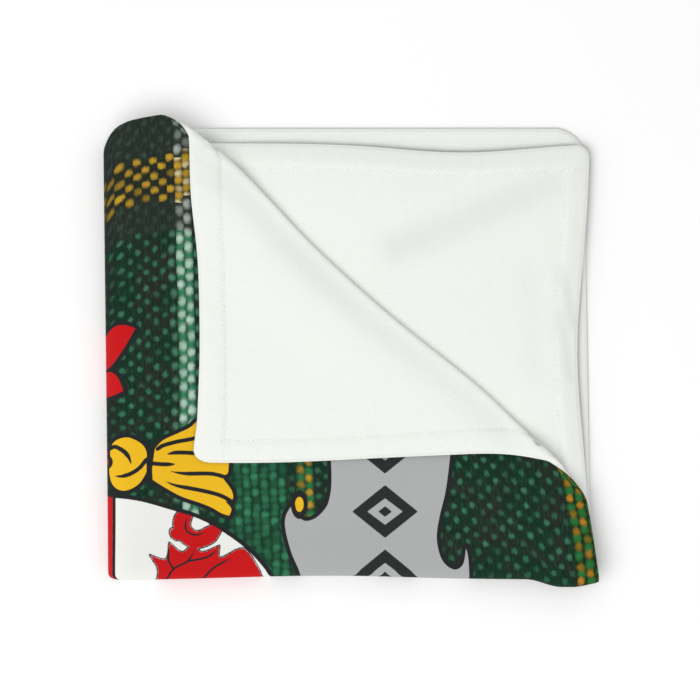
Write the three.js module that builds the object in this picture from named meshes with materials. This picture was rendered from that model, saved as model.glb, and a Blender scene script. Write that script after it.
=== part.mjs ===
// Plush throw folded in quarters with its top corner turned back. Millimetres, +Z up.
// X runs along the front fold, Y away from it, and the origin is under the middle of the pile.
//
// The throw is one sheet, printed plush on one face and white plush on the other, with its edge
// turned in and stitched down all round, which makes a hem. It was folded once across the front
// with the print outside, then once more at the left side, so four leaves lie on each other: the
// top leaf's print is up, the second shows its white face, and all four corners of the sheet meet
// at the back right. The top leaf's corner is turned back over the pile.
//
// On the flat sheet u and v are the distances from the side fold and the front fold. u is positive
// in the two upper leaves, v is positive in the outermost leaves, top and bottom.
import * as THREE from 'three';

// The sheet
const CLOTH = 3;                   // plush, nap to nap
const HEM_WIDTH = 19;
const CORNER_RADIUS = 10;          // the sheet's corners, round where the edge is turned in
const HEM_EXTRA = 1.3;             // what the turned-in edge adds, taken on the white face
const HEM_STEP = 2.5;              // over which the hem thins out to single cloth
const HEM_ROLL = 1.1;              // how far the rounded edge stands out
const UPPER_WIDTH = 395;           // side fold to the edge, upper two leaves
const LOWER_WIDTH = 390;           // side fold to the edge, lower two leaves
const OUTER_DEPTH = 357;           // front fold to the edge, top and bottom leaf
const INNER_DEPTH = 345;           // front fold to the edge, two middle leaves

// The folds. Half pitches are from the middle of the gap to the middle of the cloth.
const FRONT_REACH = 3.6;           // how far the front fold stands out, to the middle of the cloth
const FRONT_ARC = FRONT_REACH * Math.PI / 2;
const OUTER_REACH = 15.23;         // the same for the side fold of the outermost leaves
const INNER_REACH = 5.4;           // and of the two middle leaves
const SIDE_ARC = 21;               // cloth taken up by half of the side fold
const SIDE_AXIS = -179.17;         // X about which the side fold turns
const FRONT_AXIS = -175.57;        // Y about which the front fold turns
const PAIR_HALF = 2.45;            // half pitch of the two leaves joined by a front fold
const MIDDLE_HALF = 2.2;           // half pitch of the two middle leaves
const PILE_WIDTH = UPPER_WIDTH - SIDE_ARC;
const PILE_DEPTH = OUTER_DEPTH - FRONT_ARC;

// How loosely the leaves lie, added to the half pitches: by how much, and over what length
const SIDE_CROWN = { pair: 1.5, middle: 1.3, reach: 46 };
const FRONT_CROWN = { pair: 1.1, reach: 26 };
const HEM_PROP = { pair: 0.85, fromRight: [75, 30], fromBack: [95, 45] };
// Towards the free edges the leaves settle, and past the third leaf's edge the second one hangs.
const SETTLE = { by: 1.0, reach: 42 };
const HANG = { second: 3.7, top: 0.7, reach: 15, fromFold: [25, 80], soft: 3 };
const WAVE = { pair: 0.15, middle: 0.12, lengths: [47, 61], starts: [0.6, -0.4] };
const DENT = { pair: 0.35, middle: 0.3 };
const BACK_DENT = { from: [138, 123], to: [62, 92], reach: 13 };
const FRONT_DENT = { from: [150, -167], to: [178, -172], reach: 9 };

// How far each leaf lies out of square. A bay is a shallow curve in an edge: how deep it is, where
// its middle is along the edge, and half its length. Below nothing, the edge swells out instead.
const TOP_CORNER_SHIFT = [-51, 21];
const TOP_EDGE_LIFT = 8;
const TOP_RIGHT_BAY = [8, 125, 55];
const TOP_BACK_BAYS = [[-5, 148, 56], [2.4, 280, 48], [-3.5, 368, 22]];
const SECOND_RIGHT_BAY = [10, 175, 95];
const SECOND_BACK_BAY = [8, 270, 75];
const SECOND_RIGHT_SHORT = 6;
const LOWER_LEAN = 6;
const THIRD_SHORT = 15;            // how far the third leaf stays inside the second
const THIRD_SHORT_FROM = 60;       // how far from its folds before it is all that short
const LOWER_CORNER_DROP = 9;
const SIDE_END_DRAW = [17, 0, 13];
const SIDE_LEAN = { by: 4, reach: 60 };
const FRONT_BAY = [3, 160, 90];
const FRONT_STEP = { by: -6, over: [318, 346], back: 3, backOver: [355, 375], reach: 45 };

// The turned-back corner
const CREASE_BACK = [-143, 180];   // crease line, from the back edge of the pile
const CREASE_RIGHT = [187, -118];  // to its right edge
const CREASE_BOW = 6;
const CREASE_BOWS = [[0.16, 0.13], [0.74, 0.16]];   // where along the crease, and half how long
const BEND_REACH = 3.5;            // how far the bend stands out from the crease line
const BEND_ARC = 28;               // cloth that goes round it
const BEND_RISE = 5.2;             // top leaf to turned corner, middle to middle
// The crease is pressed down into the pile, but not over the hems at its ends.
const BEND_PRESS = { by: 0.8, reach: 14, ends: [0.1, 0.22] };
// Behind the crease the turned corner swells up off the top leaf, most where it is a loose roll.
const SWELL = { least: 1.2, roll: 3.6, crownAt: 26, restAt: 84 };
const ROLL = [0.3, 0.26];          // where along the crease the roll is, and half how long

// Facet sizes
const CELL = 31;
const SIDE_STEPS = 12;
const FRONT_STEPS = 8;
const BEND_STEPS = 10;
const FEEL = 0.2;                  // distance over which the slope of the cloth is taken

const ramp = (from, to, x) => {
  const t = Math.min(1, Math.max(0, (x - from) / (to - from)));
  return t * t * (3 - 2 * t);
};
const hump = (x, middle, width) => Math.exp(-(((x - middle) / width) ** 2));

// A soft furrow along a line between two places: 1 on the line, fading over its reach.
function furrow(x, y, { from, to, reach }) {
  const along = [to[0] - from[0], to[1] - from[1]];
  const share = ((x - from[0]) * along[0] + (y - from[1]) * along[1]) / (along[0] ** 2 + along[1] ** 2);
  const t = Math.min(1, Math.max(0, share));
  const away = Math.hypot(x - from[0] - t * along[0], y - from[1] - t * along[1]);
  return hump(away, 0, reach);
}

// The two half pitches at a place: plump at the folds, propped up by the hems along the free
// edges, and settled between.
function looseness(x, y) {
  const width = x - SIDE_AXIS;
  const depth = y - FRONT_AXIS;
  const sideCrown = hump(width, 0, SIDE_CROWN.reach);
  const frontCrown = hump(depth, 0, FRONT_CROWN.reach);
  const [rightFrom, rightTo] = HEM_PROP.fromRight;
  const [backFrom, backTo] = HEM_PROP.fromBack;
  const nearRight = ramp(PILE_WIDTH - rightFrom, PILE_WIDTH - rightTo, width);
  const nearBack = ramp(PILE_DEPTH - backFrom, PILE_DEPTH - backTo, depth);
  const hems = Math.max(nearRight, nearBack);
  const [alongX, alongY] = WAVE.lengths;
  const wave = Math.sin(x / alongX + WAVE.starts[0]) * Math.sin(y / alongY + WAVE.starts[1]);
  const dents = furrow(x, y, BACK_DENT) + furrow(x, y, FRONT_DENT);
  const pairCrown = SIDE_CROWN.pair * sideCrown + FRONT_CROWN.pair * frontCrown + HEM_PROP.pair * hems;
  return {
    pair: PAIR_HALF + pairCrown + WAVE.pair * wave - DENT.pair * dents,
    middle: MIDDLE_HALF + SIDE_CROWN.middle * sideCrown + WAVE.middle * wave - DENT.middle * dents,
  };
}

// The sheet folded across the front, then at the side, with every leaf square. pairLift runs from
// -1 in the two middle leaves to 1 in the outermost, sideLift from -1 below to 1 above.
function squarePile(u, v) {
  const frontTurn = Math.max(-1, Math.min(1, v / FRONT_ARC)) * Math.PI / 2;
  const sideTurn = Math.max(-1, Math.min(1, u / SIDE_ARC)) * Math.PI / 2;
  const pairLift = Math.sin(frontTurn);
  const sideLift = Math.sin(sideTurn);
  const sideReach = (OUTER_REACH + INNER_REACH + (OUTER_REACH - INNER_REACH) * pairLift) / 2;
  const width = Math.abs(u) < SIDE_ARC ? -sideReach * Math.cos(sideTurn) : Math.abs(u) - SIDE_ARC;
  const depth = Math.abs(v) < FRONT_ARC ? -FRONT_REACH * Math.cos(frontTurn) : Math.abs(v) - FRONT_ARC;
  return { width, depth, pairLift, sideLift };
}

const bay = (place, [deep, middleAt, halfLength]) => deep * hump(place, middleAt, halfLength);

// Where each leaf lies in plan: the top leaf turned, the others a little out of square.
function planShift(u, v, width, depth) {
  const across = Math.max(0, width / PILE_WIDTH);
  const back = Math.max(0, depth / PILE_DEPTH);
  const upper = u > 0;
  const outer = v > 0;
  let dx = 0;
  let dy = 0;
  if (upper && outer) {
    dx += TOP_CORNER_SHIFT[0] * across * back - across ** 3 * bay(depth, TOP_RIGHT_BAY);
    dy += TOP_CORNER_SHIFT[1] * across * back;
    for (const backBay of TOP_BACK_BAYS) dy -= back ** 3 * bay(width, backBay);
  } else if (upper) {
    dx -= across ** 3 * (bay(depth, SECOND_RIGHT_BAY) + SECOND_RIGHT_SHORT * ramp(0, 0.15, back));
    dy -= back ** 3 * bay(width, SECOND_BACK_BAY);
  } else {
    dx -= LOWER_LEAN * across * back;
    dy -= LOWER_CORNER_DROP * ramp(0.93, 1, across) * ramp(0.93, 1, back);
    if (!outer) {
      dx -= across ** 3 * (bay(depth, SECOND_RIGHT_BAY) + THIRD_SHORT * ramp(0, THIRD_SHORT_FROM, -v));
      dy -= back ** 3 * (bay(width, SECOND_BACK_BAY) + THIRD_SHORT * ramp(0, THIRD_SHORT_FROM, -u));
    }
  }
  if (outer) dy += TOP_EDGE_LIFT * back * ramp(-SIDE_ARC, SIDE_ARC + 45, u);
  // the end of the side fold is drawn in towards the front
  dy -= bay(u, SIDE_END_DRAW) * ramp(0.35, 0.8, back);
  // the side fold leans in towards the front, and the front fold runs in a shallow wave
  dx += SIDE_LEAN.by * (1 - back) * hump(width, 0, SIDE_LEAN.reach);
  const stepOut = FRONT_STEP.by * ramp(...FRONT_STEP.over, width);
  const stepBack = FRONT_STEP.back * ramp(...FRONT_STEP.backOver, width);
  dy += hump(depth, 0, FRONT_STEP.reach) * (bay(width, FRONT_BAY) + stepOut + stepBack);
  return [dx, dy];
}

const creaseAlong = new THREE.Vector2(CREASE_RIGHT[0] - CREASE_BACK[0], CREASE_RIGHT[1] - CREASE_BACK[1]);
const creaseLength = creaseAlong.length();
creaseAlong.normalize();
const creaseOut = new THREE.Vector2(-creaseAlong.y, creaseAlong.x);

// A place in plan as its distance along the crease and its distance beyond it.
function fromCrease(x, y) {
  const px = x - CREASE_BACK[0];
  const py = y - CREASE_BACK[1];
  const along = px * creaseAlong.x + py * creaseAlong.y;
  const share = along / creaseLength;
  const bow = CREASE_BOW * CREASE_BOWS.reduce((sum, [at, half]) => sum + hump(share, at, half), 0);
  const roll = hump(share, ...ROLL);
  const press = BEND_PRESS.by * ramp(...BEND_PRESS.ends, Math.min(share, 1 - share));
  return { along, bow, roll, press, beyond: px * creaseOut.x + py * creaseOut.y - bow };
}

// The place in plan before the corner is turned.
function plan(u, v) {
  const { width, depth } = squarePile(u, v);
  const [dx, dy] = planShift(u, v, width, depth);
  return [SIDE_AXIS + width + dx, FRONT_AXIS + depth + dy];
}

// How far a place in plan is inside the second leaf's free edges.
function insideSecond(x, y) {
  const width = x - SIDE_AXIS;
  const depth = y - FRONT_AXIS;
  const fromRight = PILE_WIDTH - bay(depth, SECOND_RIGHT_BAY) - SECOND_RIGHT_SHORT - width;
  const fromBack = INNER_DEPTH - FRONT_ARC - bay(width, SECOND_BACK_BAY) - depth;
  return -HANG.soft * Math.log(Math.exp(-fromRight / HANG.soft) + Math.exp(-fromBack / HANG.soft));
}

// How far the free edges have come down: the second leaf most, the others a little.
function droop(pairLift, sideLift, x, y) {
  const inside = insideSecond(x, y);
  const settled = SETTLE.by * (1 - ramp(0, SETTLE.reach, inside));
  const hangs = (HANG.second + HANG.top - (HANG.second - HANG.top) * pairLift) / 2;
  const hanging = hangs * (1 - ramp(0, HANG.reach, inside));
  const upper = (1 + sideLift) / 2;
  const third = settled * (1 - pairLift) / 2;
  const free = ramp(...HANG.fromFold, x - SIDE_AXIS) * ramp(...HANG.fromFold, y - FRONT_AXIS);
  return free * (upper * (settled + hanging) + (1 - upper) * third);
}

// The height of the middle of the cloth. The bottom leaf is flat on the ground wherever it reaches.
function leafHeight(u, v, x, y) {
  const { pairLift, sideLift } = squarePile(u, v);
  const { pair, middle } = looseness(x, y);
  const square = CLOTH / 2 + (2 * pair + middle) + sideLift * (pair + middle + pairLift * pair);
  return square - droop(pairLift, sideLift, x, y);
}

// How far a place by one of the sheet's corners is drawn in, to make the corner round.
function drawnIn(u, v) {
  const intoSide = Math.max(0, 1 - (u > 0 ? UPPER_WIDTH - u : LOWER_WIDTH + u) / CORNER_RADIUS);
  const intoEnd = Math.max(0, 1 - (v > 0 ? OUTER_DEPTH - v : INNER_DEPTH + v) / CORNER_RADIUS);
  if (intoSide === 0 || intoEnd === 0) return [0, 0];
  const share = 1 - Math.max(intoSide, intoEnd) / Math.hypot(intoSide, intoEnd);
  return [Math.sign(u) * share * intoSide * CORNER_RADIUS, Math.sign(v) * share * intoEnd * CORNER_RADIUS];
}

// The middle of the cloth in the finished pile.
function middle(sheetU, sheetV) {
  const [inU, inV] = drawnIn(sheetU, sheetV);
  const u = sheetU - inU;
  const v = sheetV - inV;
  const [x, y] = plan(u, v);
  if (u < SIDE_ARC || v < FRONT_ARC) return new THREE.Vector3(x, y, leafHeight(u, v, x, y));
  const { along, bow, roll, press, beyond } = fromCrease(x, y);
  const pressed = press * hump(Math.min(0, beyond), 0, BEND_PRESS.reach);
  if (beyond <= 0) return new THREE.Vector3(x, y, leafHeight(u, v, x, y) - pressed);
  const turn = Math.min(1, beyond / BEND_ARC) * Math.PI;
  const past = Math.max(0, beyond - BEND_ARC);
  const out = bow + BEND_REACH * Math.sin(turn) - past;
  const px = CREASE_BACK[0] + along * creaseAlong.x + out * creaseOut.x;
  const py = CREASE_BACK[1] + along * creaseAlong.y + out * creaseOut.y;
  const pressBelow = press * hump(Math.min(0, out - bow), 0, BEND_PRESS.reach);
  const crown = ramp(0, SWELL.crownAt, past) * (1 - ramp(SWELL.crownAt, SWELL.restAt, past));
  const swell = (SWELL.least + SWELL.roll * roll) * crown;
  const rise = BEND_RISE * (1 - Math.cos(turn)) / 2 + swell - pressBelow;
  return new THREE.Vector3(px, py, leafHeight(u, v, px, py) + rise);
}

// The direction the printed face looks in.
function facing(u, v) {
  const du = middle(u + FEEL, v).sub(middle(u - FEEL, v));
  const dv = middle(u, v + FEEL).sub(middle(u, v - FEEL));
  return du.cross(dv).normalize();
}

const edgeDistance = (u, v) => Math.min(UPPER_WIDTH - u, LOWER_WIDTH + u, OUTER_DEPTH - v, INNER_DEPTH + v);
const hemExtra = (u, v) => HEM_EXTRA * (1 - ramp(HEM_WIDTH, HEM_WIDTH + HEM_STEP, edgeDistance(u, v)));

const printedFace = (u, v) => middle(u, v).addScaledVector(facing(u, v), CLOTH / 2);
const whiteFace = (u, v) => middle(u, v).addScaledVector(facing(u, v), -CLOTH / 2 - hemExtra(u, v));

// The rounded outside of the hem: the middle of its thickness, a little past the edge.
function hemEdge(u, v) {
  const pastU = u === UPPER_WIDTH ? HEM_ROLL : u === -LOWER_WIDTH ? -HEM_ROLL : 0;
  const pastV = v === OUTER_DEPTH ? HEM_ROLL : v === -INNER_DEPTH ? -HEM_ROLL : 0;
  return middle(u + pastU, v + pastV).addScaledVector(facing(u, v), -HEM_EXTRA / 2);
}

// Grid lines across the sheet: both hems, even cells between, and close lines round the fold.
function gridLines(low, high, arc, arcSteps) {
  const lines = [];
  for (const [edge, side] of [[-low, -1], [high, 1]]) {
    const inside = edge - side * (HEM_WIDTH + HEM_STEP);
    const count = Math.ceil((Math.abs(inside) - arc) / CELL);
    lines.push(edge, edge - side * HEM_WIDTH / 2, edge - side * HEM_WIDTH);
    for (let i = 1; i <= count; i += 1) lines.push(side * arc + (inside - side * arc) * i / count);
  }
  for (let i = 0; i <= arcSteps; i += 1) lines.push(-arc + 2 * arc * i / arcSteps);
  return lines.sort((a, b) => a - b);
}

// Splits flat polygons where a function of the place passes a level.
function splitAt(polygons, valueAt, level) {
  const pieces = [];
  for (const polygon of polygons) {
    const values = polygon.map(([u, v]) => valueAt(u, v) - level);
    if (values.every((value) => value >= 0) || values.every((value) => value <= 0)) {
      pieces.push(polygon);
      continue;
    }
    const below = [];
    const above = [];
    polygon.forEach((corner, i) => {
      const next = (i + 1) % polygon.length;
      if (values[i] <= 0) below.push(corner);
      if (values[i] >= 0) above.push(corner);
      if (values[i] * values[next] < 0) {
        const t = values[i] / (values[i] - values[next]);
        const cut = corner.map((c, axis) => c + (polygon[next][axis] - c) * t);
        below.push(cut);
        above.push(cut);
      }
    });
    pieces.push(below, above);
  }
  return pieces;
}

function sheetPolygons() {
  const us = gridLines(LOWER_WIDTH, UPPER_WIDTH, SIDE_ARC, SIDE_STEPS);
  const vs = gridLines(INNER_DEPTH, OUTER_DEPTH, FRONT_ARC, FRONT_STEPS);
  let top = [];
  const rest = [];
  for (let i = 1; i < us.length; i += 1) {
    for (let j = 1; j < vs.length; j += 1) {
      const cell = [[us[i - 1], vs[j - 1]], [us[i], vs[j - 1]], [us[i], vs[j]], [us[i - 1], vs[j]]];
      (us[i - 1] >= SIDE_ARC && vs[j - 1] >= FRONT_ARC ? top : rest).push(cell);
    }
  }
  const beyondAt = (u, v) => {
    const [x, y] = plan(u, v);
    return fromCrease(x, y).beyond;
  };
  for (let i = 0; i <= BEND_STEPS; i += 1) top = splitAt(top, beyondAt, BEND_ARC * i / BEND_STEPS);
  top = splitAt(top, beyondAt, -BEND_PRESS.reach);
  top = splitAt(top, beyondAt, BEND_ARC + SWELL.crownAt / 2);
  top = splitAt(top, beyondAt, BEND_ARC + SWELL.crownAt);
  return rest.concat(top);
}

function blanketGeometry() {
  const corners = new Map();
  const cornerAt = (point) => {
    const key = point.map((c) => c.toFixed(3)).join();
    if (!corners.has(key)) corners.set(key, { index: corners.size, point });
    return corners.get(key).index;
  };
  const loops = sheetPolygons().map((polygon) => polygon.map(cornerAt))
    .map((loop) => loop.filter((corner, i) => corner !== loop.at(i - 1)));
  const count = corners.size;
  const points = [...corners.values()].map((corner) => corner.point);
  const positions = points.map((p) => printedFace(...p)).concat(points.map((p) => whiteFace(...p)));
  const triangles = [];
  const open = new Map();
  for (const loop of loops) {
    for (let i = 2; i < loop.length; i += 1) {
      triangles.push([loop[0], loop[i - 1], loop[i]]);
      triangles.push([loop[0] + count, loop[i] + count, loop[i - 1] + count]);
    }
    loop.forEach((from, i) => {
      const to = loop[(i + 1) % loop.length];
      if (!open.delete(`${to},${from}`)) open.set(`${from},${to}`, [from, to]);
    });
  }
  const edgeIndex = new Map();
  for (const [from] of open.values()) {
    edgeIndex.set(from, positions.length);
    positions.push(hemEdge(...points[from]));
  }
  for (const [from, to] of open.values()) {
    const [edgeFrom, edgeTo] = [edgeIndex.get(from), edgeIndex.get(to)];
    triangles.push([from, edgeFrom, edgeTo], [from, edgeTo, to]);
    triangles.push([edgeFrom, from + count, to + count], [edgeFrom, to + count, edgeTo]);
  }
  const geometry = new THREE.BufferGeometry();
  const numbers = positions.flatMap((p) => p.toArray());
  geometry.setAttribute('position', new THREE.Float32BufferAttribute(numbers, 3));
  geometry.setIndex(triangles.flat());
  geometry.computeVertexNormals();
  return geometry;
}

const whitePlush = new THREE.MeshStandardMaterial({ color: 0xf1f2ee, roughness: 0.95, metalness: 0 });
const blanket = new THREE.Mesh(blanketGeometry(), whitePlush);
blanket.name = 'blanket';

const foldedThrow = new THREE.Group();
foldedThrow.add(blanket);

export default foldedThrow;
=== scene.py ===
import math

import bmesh
import bpy
import numpy as np
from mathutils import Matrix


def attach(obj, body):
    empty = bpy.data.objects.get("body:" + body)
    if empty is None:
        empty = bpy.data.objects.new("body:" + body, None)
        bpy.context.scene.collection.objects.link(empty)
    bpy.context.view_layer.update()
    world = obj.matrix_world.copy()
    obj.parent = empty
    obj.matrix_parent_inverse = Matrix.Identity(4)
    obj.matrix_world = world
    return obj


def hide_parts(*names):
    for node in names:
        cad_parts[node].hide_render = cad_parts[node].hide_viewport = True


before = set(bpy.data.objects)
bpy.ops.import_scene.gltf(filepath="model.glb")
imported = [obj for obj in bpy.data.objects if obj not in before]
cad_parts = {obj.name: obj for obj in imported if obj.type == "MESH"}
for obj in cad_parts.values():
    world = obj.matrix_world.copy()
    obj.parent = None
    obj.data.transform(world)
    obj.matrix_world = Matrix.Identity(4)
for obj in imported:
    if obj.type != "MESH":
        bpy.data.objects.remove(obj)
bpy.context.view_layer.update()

# ---------------------------------------------------------------------------------------------
# The print. A woven cloth, shown much enlarged, with pieces of a crest over it: a red flower, a
# gold tassel, a shield with a leaf scroll, and a grey ribbon with lozenges. It is dyed into the
# plush, so here it is only outlines, in millimetres on the top leaf.
# ---------------------------------------------------------------------------------------------

PAST_SIDE = -206                   # beyond the side fold, where outlines run on out of sight
PAST_FRONT = -192                  # and the same for the front fold


def smooth_line(points, corners=(), closed=True, steps=6):
    """A smooth curve through the points, sharp at the numbered corners."""
    places = np.array(points, float)
    count = len(places)
    spans = range(count if closed else count - 1)
    curve = []
    for i in spans:
        a, b = places[i], places[(i + 1) % count]
        before = a if i in corners or (not closed and i == 0) else places[i - 1]
        last = (i + 1) % count in corners or (not closed and i == count - 2)
        after = b if last else places[(i + 2) % count]
        for t in np.arange(steps) / steps:
            bend_in = (b - before) / 2 * (t ** 3 - 2 * t ** 2 + t)
            bend_out = (after - a) / 2 * (t ** 3 - t ** 2)
            straight = a * (2 * t ** 3 - 3 * t ** 2 + 1) + b * (3 * t ** 2 - 2 * t ** 3)
            curve.append(straight + bend_in + bend_out)
    if not closed:
        curve.append(places[-1])
    return np.array(curve)


def from_line(x, y, start, end):
    """How far along a straight line a place is, from 0 to 1, and how far away from it."""
    run_x, run_y = end[0] - start[0], end[1] - start[1]
    share = ((x - start[0]) * run_x + (y - start[1]) * run_y) / (run_x ** 2 + run_y ** 2 + 1e-12)
    share = np.clip(share, 0, 1)
    return share, np.hypot(x - start[0] - share * run_x, y - start[1] - share * run_y)


def inside_shape(x, y, outline):
    """Distance to a closed outline, negative inside it."""
    nearest = np.full(x.shape, np.inf)
    inside = np.zeros(x.shape, bool)
    for (ax, ay), (bx, by) in zip(outline, np.roll(outline, -1, axis=0)):
        nearest = np.minimum(nearest, from_line(x, y, (ax, ay), (bx, by))[1])
        if ay != by:
            crosses = ((ay > y) != (by > y)) & (x < (bx - ax) * (y - ay) / (by - ay) + ax)
            inside ^= crosses
    return np.where(inside, -nearest, nearest)


def brush_stroke(x, y, points, wide, ends=(1, 1)):
    """Distance to a stroke of that width, which thins to a share of it at each end."""
    line = smooth_line(points, closed=False)
    along = np.linspace(0, 1, len(line))
    taper = np.minimum(1, ends[0] + 3 * along) * np.minimum(1, ends[1] + 3 * (1 - along))
    half = wide / 2 * taper
    nearest = np.full(x.shape, np.inf)
    for i in range(len(line) - 1):
        share, away = from_line(x, y, line[i], line[i + 1])
        nearest = np.minimum(nearest, away - half[i] - share * (half[i + 1] - half[i]))
    return nearest


def round_shape(x, y, middle, half_size):
    """Distance to an oval, negative inside it."""
    half_wide, half_high = half_size
    reach = np.hypot((x - middle[0]) / half_wide, (y - middle[1]) / half_high)
    return (reach - 1) * min(half_wide, half_high)


def lozenge_shape(x, y, middle, half_size):
    """Distance to a lozenge, negative inside it."""
    half_wide, half_high = half_size
    reach = np.abs(x - middle[0]) / half_wide + np.abs(y - middle[1]) / half_high
    return (reach - 1) * half_wide * half_high / math.hypot(half_wide, half_high)


def outline_round(shape, wide):
    """A line of that width round the outside of a shape."""
    return np.abs(shape - wide / 2) - wide / 2


FLOWER_UPPER = [(PAST_SIDE, 17), (-200, 17), (-193.6, 19.1), (-183.7, 21.9), (-169.9, 18), (-179.1, 1.5),
                (-186.2, -8.4), (-192.2, -11.6), (PAST_SIDE, -12)]
FLOWER_LOWER = [(PAST_SIDE, -14), (-192.5, -14.1), (-187.2, -15.5), (-182.6, -20.4), (-178.8, -31.3),
                (-185.8, -34.5), (-193.6, -35.6), (PAST_SIDE, -36)]
TASSEL_KNOT = [(-175.2, -68.2), (-166.5, -72.2), (-161.8, -78.1), (-160.4, -88.7), (-161.8, -96.4),
               (-168.2, -105.6), (-178.8, -110.2), (-187.2, -104.9), (-190.8, -94.3), (-188.3, -89.4),
               (-189.4, -78.8), (-187.2, -73.2), (-182.3, -69.3)]
TASSEL_SKIRT = [(-154.8, -76.7), (-148.4, -70.3), (-137.9, -65.4), (-127.3, -60.5), (-118, -54), (-104, -62),
                (-97, -78), (-96.9, -95), (-99.1, -97.9), (-100.5, -101.4), (-94.1, -110.5), (-93.5, -117.6),
                (-99.1, -119), (-94.5, -124.7), (-96.2, -130.3), (-102.6, -128.2), (-109.7, -124),
                (-120.2, -119.7), (-134.3, -114.8), (-148.4, -107), (-158, -100.7), (-156.2, -85.9)]
TASSEL_LINES = [
    ([(-189.4, -76.7), (-184.4, -75.3), (-178.8, -78.8), (-175.2, -83.7), (-173.1, -89.7)], (1, 0.1)),
    ([(-185.1, -98.5), (-178.8, -98.5), (-171.7, -95.7), (-166.1, -91.5), (-161.8, -85.9)], (0.1, 1)),
    ([(-152.7, -77.4), (-148.4, -74.6), (-137.9, -71.7), (-125.1, -69.3), (-112, -66)], (1, 0.3)),
    ([(-145.6, -81.6), (-137.9, -80.2), (-125.1, -80.6), (-108, -82)], (0.1, 0.3)),
    ([(-156.2, -88.7), (-148.4, -89.4), (-138.6, -89.4)], (1, 0.1)),
    ([(-142.8, -95), (-130.8, -96.8), (-113.2, -96.8), (-105.4, -97.9), (-99.1, -99.9)], (0.1, 1)),
    ([(-147, -102.8), (-137.9, -106.3), (-123.7, -109.1), (-113.2, -111.3), (-102.6, -114.4), (-94.1, -119)],
     (0.1, 1)),
]
TASSEL_NECK = [(-158.3, -75), (-159.2, -88), (-158.8, -102)]
CORD_BEADS = [((-191.8, -87.3), (3.2, 3.2)), ((-193.6, -80.2), (1.7, 1.7))]
SHIELD_EDGE = [(-192.5, -113), (-166, -116.9), (-142.8, -123.5), (-134.3, -126.1), (-119.9, -131),
               (-103.5, -139.5), (-81, -155.8), (-65.5, -172.8), (-55, -188)]
SHIELD_FIELD = [(-184.4, PAST_FRONT), (-184.4, -115.5), *[(x, y - 1) for x, y in SHIELD_EDGE[1:]],
                (-55, PAST_FRONT)]
SHIELD_BAR = [(PAST_SIDE, PAST_FRONT), (PAST_SIDE, -113.5), (-187, -114), (-187, PAST_FRONT)]
SHIELD_LINE = [(-185.5, -114), (-185.5, -150), (-185.5, PAST_FRONT)]
SCROLL_LEAF = [(-158, PAST_FRONT), (-152, -174), (-158.5, -161), (-146, -164.5), (-143.5, -151.5),
               (-133, -159), (-123.5, -149.5), (-118.5, -159), (-104, -154), (-103.5, -163.5),
               (-91, -157.5), (-83, -157.5), (-72, -174), (-66, PAST_FRONT)]
SCROLL_TIPS = (0, 2, 4, 6, 8, 10, 13)
SCROLL_CURL = [(-128, -127), (-133.5, -134), (-132, -143), (-123.5, -149), (-113.5, -146.5), (-105, -139)]
SCROLL_SHOOT = [(-132, -142), (-137, -146), (-142, -141)]
SCROLL_VEINS = [
    ([(-150, -186), (-140, -172), (-129, -166), (-123, -156)], (1, 0.1)),
    ([(-140, -172), (-144, -165), (-143.5, -156)], (1, 0.1)),
    ([(-129, -166), (-114, -163), (-105, -157)], (1, 0.1)),
    ([(-122, -184), (-108, -171), (-93, -163)], (1, 0.1)),
    ([(-130, -131), (-130.5, -141), (-123, -145.5), (-114, -143)], (0.4, 0.1)),
]
RIBBON = [(-36, PAST_FRONT), (-40.1, -175.6), (-47.1, -159.4), (-51.7, -141.7), (-51.7, -131.1),
          (-47.2, -122.3), (-45.5, -128), (-40, -132.5), (-35.2, -134.4), (-28.1, -132.2),
          (-21.1, -125.5), (-17.5, -118.4), (-15.4, -102.9), (-16.5, -70), (80, -70), (75.5, -108),
          (70, -132), (68, -149), (72, -165), (81, -172.5), (88.5, -168.5), (91, -155), (93, -166),
          (94, PAST_FRONT)]
RIBBON_CORNERS = (0, 5, 13, 14, 21, 23)
RIBBON_CURL = ((-40.8, -121.3), (3.5, 6))
LOZENGE_MIDDLES = [(27, -76), (27, -127), (27, -178)]
LOZENGE = (26, 21)
LOZENGE_HOLE = (14, 10.5)
LOZENGE_CORE = (5.5, 4.2)
RIBBON_SELVAGE = 2                 # what the lozenges leave clear at the ribbon's edge

INK_WIDTH = 3.2
BEAD_INK = 2
NECK_INK = 4.4
SHIELD_INK = 3.3
SHIELD_LINE_INK = 2.4
VEIN_INK = 1.5
LEAF_INK = 1.1
CURL_WIDTH = 13
SHOOT_WIDTH = 7


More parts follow.
